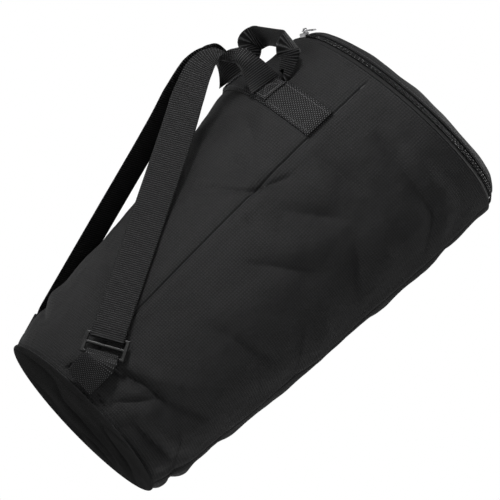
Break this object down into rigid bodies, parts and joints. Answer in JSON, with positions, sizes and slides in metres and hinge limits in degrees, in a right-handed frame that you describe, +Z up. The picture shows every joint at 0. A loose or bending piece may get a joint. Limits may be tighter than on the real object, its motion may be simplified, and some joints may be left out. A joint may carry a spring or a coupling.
{
  "type": "rope storage bag",
  "caption": "Round fabric rope bag with a zipped domed lid, two webbing shoulder straps on plastic adjusters and a webbing haul loop.",
  "frame": {"origin": "centre of the base, on the floor", "axes": "+Z up along the bag, +Y towards the shoulder straps, +X to the wearer's right"},
  "size_m": [0.286, 0.3609, 0.5187],
  "materials": {
    "oxford_cloth": "black plain-weave polyester oxford with a coated back, matt with a slight sheen",
    "webbing": "black polypropylene webbing, coarse weave",
    "binding_tape": "black grosgrain binding tape",
    "zip_tape": "black woven zip tape, smooth",
    "zip_coil": "black nylon coil, slightly glossy",
    "adjuster_plastic": "black moulded acetal, satin",
    "zip_metal": "nickel-plated zinc, bright"
  },
  "bodies": {
    "bag": {"base_panel": "oxford_cloth", "base_binding": "binding_tape", "back_panel": "oxford_cloth", "side_panel_left": "oxford_cloth", "side_panel_right": "oxford_cloth", "front_panel": "oxford_cloth", "back_seam_binding_left": "binding_tape", "back_seam_binding_right": "binding_tape", "front_seam_binding_left": "binding_tape", "front_seam_binding_right": "binding_tape", "rim_facing": "binding_tape", "body_zip_tape": "zip_tape", "body_zip_coil": "zip_coil", "zip_stop_top": "zip_coil", "zip_stop_bottom": "zip_coil", "lid_hinge": "webbing", "strap_anchor_band": "webbing", "strap_patch_left": "webbing", "strap_patch_right": "webbing"},
    "lid": {"lid_panel": "oxford_cloth", "lid_binding": "binding_tape", "lid_zip_tape": "zip_tape", "lid_zip_coil": "zip_coil"},
    "slider": {"zip_slider": "zip_metal"},
    "pull": {"zip_pull": "zip_metal"},
    "haul": {"haul_loop": "webbing"},
    "strap_left": {"shoulder_strap_left": "webbing", "strap_adjuster_left": "adjuster_plastic", "strap_tab_left": "webbing"},
    "strap_right": {"shoulder_strap_right": "webbing", "strap_adjuster_right": "adjuster_plastic", "strap_tab_right": "webbing"}
  },
  "joints": [
    {"name": "lid_open", "type": "hinge", "parent": "bag", "child": "lid", "pos_m": [0.07348, 0.11394, 0.47922], "axis": [-0.8387, 0.5421, -0.0522], "range_deg": [0, 110]},
    {"name": "slider_travel", "type": "hinge", "parent": "bag", "child": "slider", "pos_m": [0, 0, 0.4765], "axis": [0, 0.0958, 0.9954], "range_deg": [0, 306]},
    {"name": "pull_swing", "type": "hinge", "parent": "slider", "child": "pull", "pos_m": [0.01736, 0.14184, 0.4747], "axis": [0.0699, 0.4882, -0.8699], "range_deg": [0, 175]},
    {"name": "haul_loop_fold", "type": "hinge", "parent": "bag", "child": "haul", "pos_m": [0, 0.14492, 0.40425], "axis": [-1, 0, 0], "range_deg": [0, 40]},
    {"name": "strap_swing_left", "type": "hinge", "parent": "bag", "child": "strap_left", "pos_m": [-0.04997, 0.14896, 0.38416], "axis": [0.1183, 0.2181, 0.9687], "range_deg": [-10, 5]},
    {"name": "strap_swing_right", "type": "hinge", "parent": "bag", "child": "strap_right", "pos_m": [0.04997, 0.14896, 0.38416], "axis": [-0.1183, 0.2181, 0.9687], "range_deg": [-5, 10]}
  ]
}
